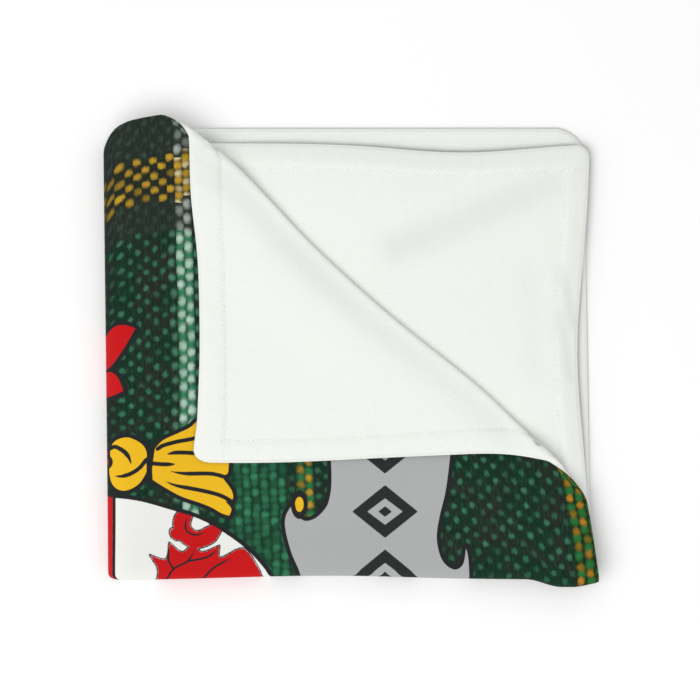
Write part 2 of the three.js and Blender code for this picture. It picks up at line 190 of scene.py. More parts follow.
def printed_shapes(x, y):
    """Distance of each place to each dye's edge: negative inside, in millimetres."""
    upper = inside_shape(x, y, smooth_line(FLOWER_UPPER, corners=(0, 4, 7, 8)))
    lower = inside_shape(x, y, smooth_line(FLOWER_LOWER, corners=(0, 4, 7)))
    flower = np.minimum(upper, lower)
    knot = inside_shape(x, y, smooth_line(TASSEL_KNOT, corners=(9,)))
    skirt = inside_shape(x, y, smooth_line(TASSEL_SKIRT, corners=(0, 9, 12, 14, 20)))
    beads = [round_shape(x, y, *bead) for bead in CORD_BEADS]
    curl = round_shape(x, y, *RIBBON_CURL)
    field = inside_shape(x, y, smooth_line(SHIELD_FIELD, corners=(0, 1, len(SHIELD_FIELD) - 1)))
    bar = inside_shape(x, y, np.array(SHIELD_BAR, float))
    leaf = inside_shape(x, y, smooth_line(SCROLL_LEAF, corners=SCROLL_TIPS))
    leaf = np.minimum(leaf, brush_stroke(x, y, SCROLL_CURL, CURL_WIDTH, (0.5, 0.5)))
    leaf = np.minimum(leaf, brush_stroke(x, y, SCROLL_SHOOT, SHOOT_WIDTH, (1, 0.15)))
    leaf = np.maximum(leaf, field)
    ribbon = inside_shape(x, y, smooth_line(RIBBON, corners=RIBBON_CORNERS))
    rings = [np.maximum(lozenge_shape(x, y, at, LOZENGE), -lozenge_shape(x, y, at, LOZENGE_HOLE))
             for at in LOZENGE_MIDDLES]
    cores = [lozenge_shape(x, y, at, LOZENGE_CORE) for at in LOZENGE_MIDDLES]
    ink = [outline_round(shape, INK_WIDTH) for shape in (flower, knot, skirt, curl, ribbon)]
    ink += [outline_round(bead, BEAD_INK) for bead in beads]
    ink += [brush_stroke(x, y, points, INK_WIDTH, ends) for points, ends in TASSEL_LINES]
    ink += [brush_stroke(x, y, TASSEL_NECK, NECK_INK), brush_stroke(x, y, SHIELD_EDGE, SHIELD_INK)]
    ink += [brush_stroke(x, y, SHIELD_LINE, SHIELD_LINE_INK), outline_round(leaf, LEAF_INK)]
    ink += [brush_stroke(x, y, points, VEIN_INK, ends) for points, ends in SCROLL_VEINS]
    return {
        "white_dye": field,
        "red_dye": np.minimum.reduce([flower, bar, leaf, *beads]),
        "gold_dye": np.minimum.reduce([knot, skirt, curl]),
        "grey_dye": ribbon,
        "lozenge_dye": np.maximum(np.minimum.reduce(rings + cores), ribbon + RIBBON_SELVAGE),
        "ink_dye": np.minimum.reduce(ink),
    }


# ---------------------------------------------------------------------------------------------
# The throw itself: one sheet of short plush, printed on one face and white on the other, with
# its edge turned in and stitched down all round. It was folded across the front, then at the
# side, and the top leaf's corner was turned back.
# ---------------------------------------------------------------------------------------------

# u and v are the distances on the flat sheet from the side fold and from the front fold: u is
# positive in the upper two leaves, and v in the outermost ones, top and bottom.
CLOTH = 3.0                        # plush, nap to nap
EDGE_WIDTH = 19.0                  # from the edge of the throw to its row of stitches
EDGE_EXTRA = 0.8                   # what the turned-in edge adds
EDGE_ROLL = 1.1                    # how far the rounded edge stands out
EDGE_ROUND = 6.0                   # over which it thins down to its rim
EDGE_THINNED = 0.8                 # and by what share of its thickness
CORNER_RADIUS = 10.0
UPPER_WIDTH = 395.0                # side fold to the edge, upper two leaves
LOWER_WIDTH = 390.0                # side fold to the edge, lower two leaves
OUTER_DEPTH = 357.0                # front fold to the edge, top and bottom leaf
INNER_DEPTH = 345.0                # front fold to the edge, two middle leaves

# The folds
FRONT_REACH = 3.6                  # how far the front fold stands out, to the middle of the cloth
FRONT_ARC = FRONT_REACH * math.pi / 2
OUTER_REACH = 15.23                # the same for the side fold of the outermost leaves
INNER_REACH = 5.4                  # and of the two middle leaves
SIDE_ARC = 21.0                    # cloth taken up by half of the side fold
SIDE_AXIS = -179.17                # X about which the side fold turns
FRONT_AXIS = -175.57               # Y about which the front fold turns
PAIR_HALF = 2.45                   # half pitch of the two leaves joined by a front fold
MIDDLE_HALF = 2.2                  # half pitch of the two middle leaves
PILE_WIDTH = UPPER_WIDTH - SIDE_ARC
PILE_DEPTH = OUTER_DEPTH - FRONT_ARC

# How loosely the leaves lie, added to the half pitches: by how much, and over what length
SIDE_CROWN = {"pair": 1.5, "middle": 1.3, "reach": 46}
FRONT_CROWN = {"pair": 1.1, "reach": 26}
EDGE_PROP = {"pair": 0.85, "from_right": (75, 30), "from_back": (95, 45)}
SETTLE = {"by": 1.0, "reach": 42}
HANG = {"second": 3.7, "top": 0.7, "reach": 15, "from_fold": (25, 80), "soft": 3}
WAVE = {"pair": 0.15, "middle": 0.12, "lengths": (47, 61), "starts": (0.6, -0.4)}
DENT = {"pair": 0.35, "middle": 0.3}

# How far each leaf lies out of square. A bay is a shallow curve in an edge: how deep it is, where
# its middle is along the edge, and half its length. Below nothing, the edge swells out instead.
TOP_CORNER_SHIFT = (-51, 21)
TOP_EDGE_LIFT = 8
TOP_RIGHT_BAY = (8, 125, 55)
TOP_BACK_BAYS = ((-5, 148, 56), (2.4, 280, 48), (-3.5, 368, 22))
SECOND_RIGHT_BAY = (10, 175, 95)
SECOND_BACK_BAY = (8, 270, 75)
SECOND_RIGHT_SHORT = 6
LOWER_LEAN = 6
LOWER_CORNER_DROP = 9
LOWER_CORNER = (0.93, 1)
THIRD_SHORT = 15                   # how far the third leaf stays inside the second
THIRD_SHORT_FROM = 60              # how far from its folds before it is all that short
SIDE_END_DRAW = (17, 0, 13)
SIDE_LEAN = {"by": 4, "reach": 60}
FRONT_BAY = (3, 160, 90)
FRONT_STEP = {"by": -6, "over": (318, 346), "back": 3, "back_over": (355, 375), "reach": 45}

# The turned-back corner. Its bend is round at its two ends, over the hems, and flat between.
CREASE_BACK = np.array([-143.0, 180.0])
CREASE_RIGHT = np.array([187.0, -118.0])
CREASE_BOW = 6.0
CREASE_BOWS = ((0.16, 0.13), (0.74, 0.16))   # where along the crease, and half how long
BEND_ARC = 28.0                    # cloth that goes round the bend
BEND_REACH = {"round": 3.5, "flat": 2.4}
BEND_RISE = {"round": 5.2, "flat": 3.3}
BEND_PRESS = {"by": 2.5, "reach": 14, "ends": (0.1, 0.22)}
SWELL = {"least": 1.0, "roll": 2.8, "crown_at": 26, "rest_at": 84}
ROLL = (0.3, 0.26)                 # where along the crease the roll is, and half how long
TOP_SQUASH = 0.44                  # share of the press that flattens the nap in the bend
SECOND_SQUASH = 0.3                # and on the leaf under it

# Furrows and ridges, soft lines in the cloth: their height, their two ends, and their reach
DENTS = ((1, (138, 123), (62, 92), 13), (1, (150, -167), (178, -172), 9))
TOP_FURROWS = ((-0.9, (146, -170), (172, -174), 4), (0.5, (120, -158), (160, -161), 9))
SECOND_FURROWS = (
    (-1.7, (152, 134), (40, 84), 12),
    (0.9, (140, 104), (70, 70), 14),
    (0.8, (128, 152), (40, 116), 10),
    (-0.6, (165, 60), (176, 22), 5),
    (-0.5, (163, 30), (172, -20), 4),
    (0.5, (158, 66), (160, -30), 7),
)
# Painted shade in the creases of the second leaf: how grey it is painted there in place of the height, then
# its two ends and its reach
PAINTED_CREASE_SHADE = (
    (0.5, (158, 134), (36, 84), 13),
    (0.5, (166, 64), (177, 20), 4),
    (0.5, (164, 30), (174, -22), 3.5),
    (0.2, (140, 60), (146, -20), 12),
)
CREASE_DISH = {"deep": 1.1, "reach": 22}
TOP_SWELL = 0.175                  # height of the slow swells on the top leaf
SECOND_SWELL = 0.21
PUCKERS = ((0.32, 13, 0, 24, 9), (0.28, 17, 2, 8, 8))   # height, length, start, how far in, reach

crease_length = np.linalg.norm(CREASE_RIGHT - CREASE_BACK)
crease_along = (CREASE_RIGHT - CREASE_BACK) / crease_length


def ramp(start, end, x):
    """0 before the start, 1 after the end, and smooth between."""
    t = np.clip((x - start) / (end - start), 0, 1)
    return t * t * (3 - 2 * t)


def hump(x, middle, width):
    """1 at the middle, fading away over the width."""
    return np.exp(-((x - middle) / width) ** 2)


def furrows(x, y, lines):
    """The height of several soft furrows and ridges together."""
    return sum(height * hump(from_line(x, y, start, end)[1], 0, reach) for height, start, end, reach in lines)


def bay(place, shape):
    """How far a shallow curve draws an edge in."""
    deep, middle, half_length = shape
    return deep * hump(place, middle, half_length)


def looseness(x, y):
    """Half the pitch of the two leaves of a pair, and of the two middle leaves."""
    width = x - SIDE_AXIS
    depth = y - FRONT_AXIS
    side_crown = hump(width, 0, SIDE_CROWN["reach"])
    front_crown = hump(depth, 0, FRONT_CROWN["reach"])
    right_start, right_end = EDGE_PROP["from_right"]
    back_start, back_end = EDGE_PROP["from_back"]
    near_right = ramp(PILE_WIDTH - right_start, PILE_WIDTH - right_end, width)
    near_back = ramp(PILE_DEPTH - back_start, PILE_DEPTH - back_end, depth)
    edges = np.maximum(near_right, near_back)
    (length_x, length_y), (start_x, start_y) = WAVE["lengths"], WAVE["starts"]
    wave = np.sin(x / length_x + start_x) * np.sin(y / length_y + start_y)
    dents = furrows(x, y, DENTS)
    crown = SIDE_CROWN["pair"] * side_crown + FRONT_CROWN["pair"] * front_crown + EDGE_PROP["pair"] * edges
    pair = PAIR_HALF + crown + WAVE["pair"] * wave - DENT["pair"] * dents
    middle = MIDDLE_HALF + SIDE_CROWN["middle"] * side_crown + WAVE["middle"] * wave - DENT["middle"] * dents
    return pair, middle


def square_pile(u, v):
    """The sheet folded in four, with every leaf square."""
    front_turn = np.clip(v / FRONT_ARC, -1, 1) * math.pi / 2
    side_turn = np.clip(u / SIDE_ARC, -1, 1) * math.pi / 2
    pair_lift = np.sin(front_turn)
    side_reach = (OUTER_REACH + INNER_REACH + (OUTER_REACH - INNER_REACH) * pair_lift) / 2
    width = np.where(np.abs(u) < SIDE_ARC, -side_reach * np.cos(side_turn), np.abs(u) - SIDE_ARC)
    depth = np.where(np.abs(v) < FRONT_ARC, -FRONT_REACH * np.cos(front_turn), np.abs(v) - FRONT_ARC)
    return width, depth, pair_lift, np.sin(side_turn)


def plan_shift(u, v, width, depth):
    """How far each leaf lies out of square: the top leaf turned, the others a little."""
    across = np.maximum(0, width / PILE_WIDTH)
    back = np.maximum(0, depth / PILE_DEPTH)
    right_bay, back_bay = bay(depth, SECOND_RIGHT_BAY), bay(width, SECOND_BACK_BAY)
    top_x = TOP_CORNER_SHIFT[0] * across * back - across ** 3 * bay(depth, TOP_RIGHT_BAY)
    top_y = TOP_CORNER_SHIFT[1] * across * back - back ** 3 * sum(bay(width, one) for one in TOP_BACK_BAYS)
    second_x = -across ** 3 * (right_bay + SECOND_RIGHT_SHORT * ramp(0, 0.15, back))
    second_y = -back ** 3 * back_bay
    bottom_x = -LOWER_LEAN * across * back
    bottom_y = -LOWER_CORNER_DROP * ramp(*LOWER_CORNER, across) * ramp(*LOWER_CORNER, back)
    third_x = bottom_x - across ** 3 * (right_bay + THIRD_SHORT * ramp(0, THIRD_SHORT_FROM, -v))
    third_y = bottom_y - back ** 3 * (back_bay + THIRD_SHORT * ramp(0, THIRD_SHORT_FROM, -u))
    leaves = [(u > 0) & (v > 0), (u > 0) & (v <= 0), (u <= 0) & (v <= 0)]
    dx = np.select(leaves, [top_x, second_x, third_x], bottom_x)
    dy = np.select(leaves, [top_y, second_y, third_y], bottom_y)
    dy += np.where(v > 0, TOP_EDGE_LIFT * back * ramp(-SIDE_ARC, SIDE_ARC + 45, u), 0)
    dy -= bay(u, SIDE_END_DRAW) * ramp(0.35, 0.8, back)
    dx += SIDE_LEAN["by"] * (1 - back) * hump(width, 0, SIDE_LEAN["reach"])
    step = FRONT_STEP["by"] * ramp(*FRONT_STEP["over"], width)
    step += FRONT_STEP["back"] * ramp(*FRONT_STEP["back_over"], width)
    dy += hump(depth, 0, FRONT_STEP["reach"]) * (bay(width, FRONT_BAY) + step)
    return dx, dy


def plan(u, v):
    """The place in plan before the corner is turned."""
    width, depth, _, _ = square_pile(u, v)
    dx, dy = plan_shift(u, v, width, depth)
    return SIDE_AXIS + width + dx, FRONT_AXIS + depth + dy


def from_edges(u, v):
    """How far in a place is from the sheet's nearest side, and from its nearest end."""
    from_side = np.where(u > 0, UPPER_WIDTH - u, LOWER_WIDTH + u)
    from_end = np.where(v > 0, OUTER_DEPTH - v, INNER_DEPTH + v)
    return from_side, from_end


def edge_distance(u, v):
    """How far in from the sheet's edge, and how far along it, and how far from its corner."""
    from_side, from_end = from_edges(u, v)
    along = np.where(from_side < from_end, v, u)
    return np.minimum(from_side, from_end), along, np.maximum(from_side, from_end)


def uneven(along, length, start=0.0):
    """A wave of about that length that never quite repeats."""
    turn = 2 * math.pi * along / length
    return (np.sin(turn + start) + np.sin(turn * 0.61 + 2 * start + 1) + np.sin(turn * 1.47 + start * 3)) / 3


def beyond_crease(x, y):
    """How far a place is beyond the crease, where along it, and its bow, roll and press there."""
    from_back_x, from_back_y = x - CREASE_BACK[0], y - CREASE_BACK[1]
    along = from_back_x * crease_along[0] + from_back_y * crease_along[1]
    share = along / crease_length
    bow = CREASE_BOW * sum(hump(share, middle, half_length) for middle, half_length in CREASE_BOWS)
    beyond = from_back_y * crease_along[0] - from_back_x * crease_along[1] - bow
    press = BEND_PRESS["by"] * ramp(*BEND_PRESS["ends"], np.minimum(share, 1 - share))
    return beyond, along, bow, hump(share, *ROLL), press


def hand_relief(u, v, x, y):
    """What handling left in the cloth: puckers beside the stitches, soft troughs and swells."""
    inward, along, from_corner = edge_distance(u, v)
    relief = ramp(12, 40, from_corner) * sum(
        height * uneven(along, length, start) * hump(inward, middle, reach)
        for height, length, start, middle, reach in PUCKERS)
    swell = np.sin(x / 21 + y / 34) * np.sin(y / 27 - x / 55 + 1.3)
    dish = CREASE_DISH["deep"] * hump(beyond_crease(x, y)[0], 0, CREASE_DISH["reach"])
    dish = dish * ramp(10, 60, from_corner)
    top = TOP_SWELL * swell + furrows(x, y, TOP_FURROWS) - dish
    second = SECOND_SWELL * swell + furrows(x, y, SECOND_FURROWS) - dish
    return relief + np.select([(u > 0) & (v > 0), (u > 0) & (v < 0)], [top, second], 0)


def droop(pair_lift, side_lift, x, y):
    """How far the free edges have come down: the second leaf most, the others a little."""
    width, depth = x - SIDE_AXIS, y - FRONT_AXIS
    from_right = PILE_WIDTH - bay(depth, SECOND_RIGHT_BAY) - SECOND_RIGHT_SHORT - width
    from_back = INNER_DEPTH - FRONT_ARC - bay(width, SECOND_BACK_BAY) - depth
    soft = HANG["soft"]
    inside = -soft * np.log(np.exp(-from_right / soft) + np.exp(-from_back / soft))
    settled = SETTLE["by"] * (1 - ramp(0, SETTLE["reach"], inside))
    hangs = (HANG["second"] + HANG["top"] - (HANG["second"] - HANG["top"]) * pair_lift) / 2
    hanging = hangs * (1 - ramp(0, HANG["reach"], inside))
    upper = (1 + side_lift) / 2
    down = upper * (settled + hanging) + (1 - upper) * settled * (1 - pair_lift) / 2
    return ramp(*HANG["from_fold"], width) * ramp(*HANG["from_fold"], depth) * down


def leaf_height(u, v, x, y):
    """The height of the middle of the cloth. The bottom leaf is flat on the ground."""
    _, _, pair_lift, side_lift = square_pile(u, v)
    pair, middle = looseness(x, y)
    square = CLOTH / 2 + (2 * pair + middle) + side_lift * (pair + middle + pair_lift * pair)
    return square - droop(pair_lift, side_lift, x, y)


def round_corners(u, v):
    """The sheet's square corners drawn in to round ones, as they come when the edge is turned in."""
    from_side, from_end = from_edges(u, v)
    into_side = np.maximum(0, 1 - from_side / CORNER_RADIUS)
    into_end = np.maximum(0, 1 - from_end / CORNER_RADIUS)
    reach = np.hypot(into_side, into_end) + 1e-9
    drawn_in = 1 - np.maximum(into_side, into_end) / reach
    u = u - np.sign(u) * drawn_in * into_side * CORNER_RADIUS
    return u, v - np.sign(v) * drawn_in * into_end * CORNER_RADIUS


def cloth_middle(u, v):
    """The middle of the cloth in the finished pile, as rows of x, y, z in millimetres."""
    u, v = round_corners(u, v)
    x, y = plan(u, v)
    beyond, along, bow, roll, press = beyond_crease(x, y)
    top = (u >= SIDE_ARC) & (v >= FRONT_ARC)
    turned = top & (beyond > 0)
    turn = np.clip(beyond / BEND_ARC, 0, 1) * math.pi
    past = np.maximum(0, beyond - BEND_ARC)
    flat = press / BEND_PRESS["by"]
    bend_reach = BEND_REACH["round"] * (1 - flat) + BEND_REACH["flat"] * flat
    bend_rise = BEND_RISE["round"] * (1 - flat) + BEND_RISE["flat"] * flat
    out = bow + bend_reach * np.sin(turn) - past
    turned_x = CREASE_BACK[0] + along * crease_along[0] - out * crease_along[1]
    turned_y = CREASE_BACK[1] + along * crease_along[1] + out * crease_along[0]
    crown = ramp(0, SWELL["crown_at"], past) * (1 - ramp(SWELL["crown_at"], SWELL["rest_at"], past))
    rise = bend_rise * (1 - np.cos(turn)) / 2 + (SWELL["least"] + SWELL["roll"] * roll) * crown
    inside_crease = np.minimum(0, np.where(turned, out - bow, beyond))
    pressed = np.where(top, press * hump(inside_crease, 0, BEND_PRESS["reach"]), 0)
    x, y = np.where(turned, turned_x, x), np.where(turned, turned_y, y)
    z = leaf_height(u, v, x, y) + np.where(turned, rise, 0) - pressed
    on_ground = (u < 0) & (v > 0)
    z = z + np.where(on_ground, 0, hand_relief(u, v, x, y) * ramp(0, 12, np.abs(u)))
    return np.stack([x, y, z], axis=-1)


def facing(u, v):
    """The direction that the printed face looks in."""
    feel = 0.2
    du = cloth_middle(u + feel, v) - cloth_middle(u - feel, v)
    dv = cloth_middle(u, v + feel) - cloth_middle(u, v - feel)
    normal = np.cross(du, dv)
    return normal / np.linalg.norm(normal, axis=-1, keepdims=True)


def edge_rounding(inward):
    """1 at the very edge, where the two faces meet, and 0 once the cloth has its full thickness."""
    share = 1 - np.clip((inward + EDGE_ROLL) / EDGE_ROUND, 0, 1)
    return EDGE_THINNED * (1 - np.sqrt(1 - share ** 2))


def squashed(u, v):
    """What the nap loses in thickness where the bend squashes it flat."""
    beyond, _, _, _, press = beyond_crease(*plan(u, v))
    top_share = TOP_SQUASH * ramp(-20, 0, beyond) * (1 - ramp(BEND_ARC, BEND_ARC + 24, beyond))
    second_share = SECOND_SQUASH * ramp(-34, -12, beyond) * (1 - ramp(2, 14, beyond))
    return press * np.select([(u > 0) & (v > 0), u > 0], [top_share, second_share], 0)


def thickness(u, v):
    """Printed face to white face: thicker in the turned-in edge, and drawn in at the stitches."""
    inward, along, from_corner = edge_distance(u, v)
    from_side, from_end = from_edges(u, v)
    border = 1 - ramp(EDGE_WIDTH - 3, EDGE_WIDTH + 1.5, inward)
    calm = ramp(10, 30, from_corner)
    full = CLOTH + EDGE_EXTRA * border + 0.15 * hump(inward, 10, 5)
    side_row = hump(from_side, EDGE_WIDTH + 0.5, 2.2) * ramp(EDGE_WIDTH - 2, EDGE_WIDTH + 1, from_end)
    end_row = hump(from_end, EDGE_WIDTH + 0.5, 2.2)
    drawn = 0.14 * np.maximum(side_row, end_row) * (0.8 + 0.4 * uneven(along, 9, 1))
    puffs = 0.3 * uneven(along, 11, 4) * hump(inward, 15, 3.5) * calm
    return (full - drawn + puffs) * (1 - edge_rounding(inward)) - squashed(u, v)


def printed_face(u, v):
    """Places on the printed face."""
    inward, _, _ = edge_distance(u, v)
    lost = edge_rounding(inward) * (CLOTH + EDGE_EXTRA) / 2
    half = CLOTH / 2 - lost - squashed(u, v) / 2
    return cloth_middle(u, v) + facing(u, v) * half[..., None]


# Rows of cells beside each edge of the sheet, by how far in they are: close at the rim and at the
# stitches. Past them the cells are fine on the upper and outer leaves, and wider on the others.
EDGE_ROWS = np.array([-EDGE_ROLL, -0.8, -0.1, 1.0, 2.4, 5, 9, 13, 16, 17.6, 18.8, 20, 21.2, 22.6])
EDGE_ROWS_END = 25.0
FINE_CELL = 3.4
INNER_CELL = 6.5
LOWER_CELL = 15.0
SIDE_STEPS = 14
FRONT_STEPS = 10
MAX_THICKNESS = 5.0


def cloth_rows(low, high, arc, arc_steps, low_cell):
    """Where the sheet's rows of cells run, from one edge across the fold to the other."""
    fold = np.linspace(-arc, arc, arc_steps + 1)
    below_count = math.ceil((low - EDGE_ROWS_END - arc) / low_cell)
    above_count = math.ceil((high - EDGE_ROWS_END - arc) / FINE_CELL)
    below = np.linspace(-low + EDGE_ROWS_END, -arc, below_count + 1)
    above = np.linspace(arc, high - EDGE_ROWS_END, above_count + 1)
    return np.concatenate([EDGE_ROWS - low, below[:-1], fold, above[1:], (high - EDGE_ROWS)[::-1]])


u_rows = cloth_rows(LOWER_WIDTH, UPPER_WIDTH, SIDE_ARC, SIDE_STEPS, LOWER_CELL)
v_rows = cloth_rows(INNER_DEPTH, OUTER_DEPTH, FRONT_ARC, FRONT_STEPS, INNER_CELL)
u_cells, v_cells = len(u_rows) - 1, len(v_rows) - 1

panel = bmesh.new()
bmesh.ops.create_grid(panel, x_segments=u_cells, y_segments=v_cells, size=1.0)
for vertex in panel.verts:
    column = round((vertex.co.x + 1) / 2 * u_cells)
    row = round((vertex.co.y + 1) / 2 * v_cells)
    vertex.co = (u_rows[column], v_rows[row], 0)


def flat_places(sheet):
    """Where each vertex is on the flat sheet."""
    places = np.array([vertex.co[:2] for vertex in sheet.verts])
    return places[:, 0], places[:, 1]


def in_print(u, v):
    """Where a place on the sheet comes in the print, which runs on round both folds at full length."""
    x, y = plan(np.maximum(np.abs(u), SIDE_ARC), np.maximum(np.abs(v), FRONT_ARC))
    return x + np.minimum(np.abs(u) - SIDE_ARC, 0), y + np.minimum(np.abs(v) - FRONT_ARC, 0)


# The cells that an outline of the print crosses are made finer, twice over.
for reach in (2.8, 1.7):
    u, v = flat_places(panel)
    shapes = printed_shapes(*in_print(u, v))
    nearest = np.minimum.reduce([np.abs(shape) for shape in shapes.values()])
    near = (nearest < reach) & (u > -SIDE_ARC) & (v > -FRONT_ARC)
    panel.verts.index_update()
    crossed = [edge for edge in panel.edges if all(near[vertex.index] for vertex in edge.verts)]
    bmesh.ops.subdivide_edges(panel, edges=crossed, cuts=1, use_grid_fill=True)

u, v = flat_places(panel)
shapes = printed_shapes(*in_print(u, v))
uv_layer = panel.loops.layers.uv.new("flat_sheet")
for face in panel.faces:
    face.smooth = True
    for loop in face.loops:
        loop[uv_layer].uv = ((loop.vert.co.x + LOWER_WIDTH) / 1000, (loop.vert.co.y + INNER_DEPTH) / 1000)
for vertex, place in zip(panel.verts, printed_face(u, v) / 1000):
    vertex.co = place

throw_mesh = bpy.data.meshes.new("folded_throw")
panel.to_mesh(throw_mesh)
panel.free()
for name, shape in shapes.items():
    stored = throw_mesh.attributes.new(name, "FLOAT", "POINT")
    stored.data.foreach_set("value", np.clip(shape, -8, 8).astype(np.float32))

# Painted shade: where the second leaf was creased, its white face is painted greyer.
painted_crease_shade = np.where((u > 0) & (v < 0), furrows(*plan(u, v), PAINTED_CREASE_SHADE), 0)
stored = throw_mesh.attributes.new("painted_crease_shade", "FLOAT", "POINT")
stored.data.foreach_set("value", painted_crease_shade.astype(np.float32))

throw = bpy.data.objects.new("folded_throw", throw_mesh)
bpy.context.collection.objects.link(throw)
share = thickness(u, v) / MAX_THICKNESS
thickness_group = throw.vertex_groups.new(name="thickness")
for index, weight in enumerate(share):
    thickness_group.add([index], float(weight), "REPLACE")

solidify = throw.modifiers.new("white_face", "SOLIDIFY")
solidify.thickness = MAX_THICKNESS / 1000
solidify.offset = -1
solidify.vertex_group = "thickness"
solidify.material_offset = 1
solidify.material_offset_rim = 1


def dye(red, green, blue):
    """A colour as the eye reads it, 0 to 255, as the shader wants it."""
    parts = [c / 255 for c in (red, green, blue)]
    return (*[c / 12.92 if c < 0.04045 else ((c + 0.055) / 1.055) ** 2.4 for c in parts], 1)


class Finish:
    """A material, with short words for the nodes that plush needs."""

    def __init__(self, name):
        self.material = bpy.data.materials.new(name)
        self.material.use_nodes = True
        self.tree = self.material.node_tree
        self.shader = self.tree.nodes["Principled BSDF"]

    def plug(self, value, socket):
        if isinstance(value, bpy.types.NodeSocket):
            self.tree.links.new(value, socket)
        else:
            socket.default_value = value

    def sum(self, operation, *values):
        node = self.tree.nodes.new("ShaderNodeMath")
        node.operation = operation
        for value, socket in zip(values, node.inputs):
            self.plug(value, socket)
        return node.outputs[0]

    def flat_place(self):
        node = self.tree.nodes.new("ShaderNodeUVMap")
        node.uv_map = "flat_sheet"
        return node.outputs["UV"]

    def stretched(self, place, scale):
        node = self.tree.nodes.new("ShaderNodeMapping")
        self.plug(place, node.inputs["Vector"])
        node.inputs["Scale"].default_value = scale
        return node.outputs["Vector"]

    def mottle(self, place, size, detail=2.0, rough=0.5):
        """Smooth noise from 0 to 1, of patches about that many millimetres across."""
        node = self.tree.nodes.new("ShaderNodeTexNoise")
        self.plug(place, node.inputs["Vector"])
        node.inputs["Scale"].default_value = 1000 / size
        node.inputs["Detail"].default_value = detail
        node.inputs["Roughness"].default_value = rough
        return node.outputs["Fac"]

    def speck(self, across, along):
        """A number from 0 to 1 that is different for each thread of the weave."""
        pair = self.tree.nodes.new("ShaderNodeCombineXYZ")
        self.plug(across, pair.inputs["X"])
        self.plug(along, pair.inputs["Y"])
        node = self.tree.nodes.new("ShaderNodeTexWhiteNoise")
        node.noise_dimensions = "2D"
        self.plug(pair.outputs[0], node.inputs["Vector"])
        return node.outputs["Value"]

    def between(self, value, start, end):
        """0 at the start and 1 at the end, smooth between."""
        node = self.tree.nodes.new("ShaderNodeMapRange")
        node.interpolation_type = "SMOOTHSTEP"
        self.plug(value, node.inputs["Value"])
        node.inputs["From Min"].default_value = start
        node.inputs["From Max"].default_value = end
        return node.outputs["Result"]

    def mix(self, share, first, second):
        node = self.tree.nodes.new("ShaderNodeMix")
        node.data_type = "RGBA"
        self.plug(share, node.inputs["Factor"])
        self.plug(first, node.inputs["A"])
        self.plug(second, node.inputs["B"])
        return node.outputs["Result"]

    def attribute(self, name):
        node = self.tree.nodes.new("ShaderNodeAttribute")
        node.attribute_name = name
        return node.outputs["Fac"]

    def raised(self, height, distance, strength=1.0, under=None):
        node = self.tree.nodes.new("ShaderNodeBump")
        self.plug(height, node.inputs["Height"])
        node.inputs["Distance"].default_value = distance / 1000
        node.inputs["Strength"].default_value = strength
        if under is not None:
            self.plug(under, node.inputs["Normal"])
        return node.outputs["Normal"]


def nap(finish, tuft_depth, lay_depth):
    """The pile of the plush: fine tufts, and patches where a hand has brushed it another way."""
    place = finish.flat_place()
    tufts = finish.mottle(place, 1.1, 3.0, 0.6)
    brushed = finish.mottle(finish.stretched(place, (1, 0.55, 1)), 9, 2.0, 0.55)
    brushed_bump = finish.raised(brushed, lay_depth)
    finish.plug(finish.raised(tufts, tuft_depth, 0.8, brushed_bump), finish.shader.inputs["Normal"])
    finish.shader.inputs["Roughness"].default_value = 0.92
    finish.shader.inputs["Specular IOR Level"].default_value = 0.15
    return place, tufts


# The printed face. The weave is a lattice of soft oval floats in columns, each column half a
# float out of step with the next. It is dyed in column stripes and in one cross band.
COLUMN_PITCH = 7.3
FLOAT_PITCH = 11.4
FIRST_COLUMN = -131.0
PALE_COLUMNS = (-0.5, 1.5)
GOLD_STRIPE = (12.5, 14.5)
EDGE_STRIPE = (42.5, 46.5)
GOLD_BAND = (112.5, 146.5)
DARK_FROM = (83, 91)               # where the cross band's dark ground sets in
KNIT_LEFT = (-97, -90)             # and where the close-set stretch beside the ribbon starts
KNIT_RIGHT = (-44, -50)
FOLD_PAINTED_SHADE = (-181, -197)          # over which shade is painted, darkening the print round the side fold

GREEN_GROUND = dye(17, 47, 33)
BROWN_GROUND = dye(33, 42, 34)
GREEN_FLOAT = dye(50, 122, 86)
GREY_FLOAT = dye(64, 110, 88)
DARK_BAND = dye(33, 42, 36)
DARK_BAND_FLOAT = dye(60, 78, 66)
GOLD_FLOAT = dye(192, 154, 40)
CREAM_FLOAT = dye(222, 206, 158)
PALE_FLOAT = dye(176, 204, 186)
ORANGE_FLOAT = dye(182, 126, 34)
LIGHT_GREEN = dye(44, 110, 76)
SHADOW_GREEN = dye(14, 26, 20)

printed_plush = Finish("printed_plush")
flat_place, tufts = nap(printed_plush, 0.25, 0.35)
p = printed_plush
parts = p.tree.nodes.new("ShaderNodeSeparateXYZ")
p.plug(flat_place, parts.inputs[0])


def unfolded(position, before_fold, start):
    """Millimetres from a fold, the same on either side of it, then moved to the print's start."""
    from_fold = p.sum("ABSOLUTE", p.sum("SUBTRACT", p.sum("MULTIPLY", position, 1000), before_fold))
    return p.sum("ADD", from_fold, start)


def waver(size, most):
    """A smooth wander of up to half that many millimetres either way."""
    return p.sum("MULTIPLY", p.sum("SUBTRACT", p.mottle(flat_place, size, 1.0), 0.5), most)


across = unfolded(parts.outputs["X"], LOWER_WIDTH, SIDE_AXIS - SIDE_ARC)
along = unfolded(parts.outputs["Y"], INNER_DEPTH, FRONT_AXIS - FRONT_ARC)
across_wobbly = p.sum("ADD", across, waver(30, 3.0))
along_wobbly = p.sum("ADD", along, waver(23, 5.0))
columns = p.sum("DIVIDE", p.sum("SUBTRACT", across_wobbly, FIRST_COLUMN), COLUMN_PITCH)
column = p.sum("ROUND", columns)
column_offset = p.sum("MULTIPLY", p.sum("SUBTRACT", columns, column), COLUMN_PITCH)
out_of_step = p.sum("MULTIPLY", p.sum("FLOORED_MODULO", column, 2.0), 0.5)
steps_along = p.sum("ADD", p.sum("DIVIDE", along_wobbly, FLOAT_PITCH), out_of_step)


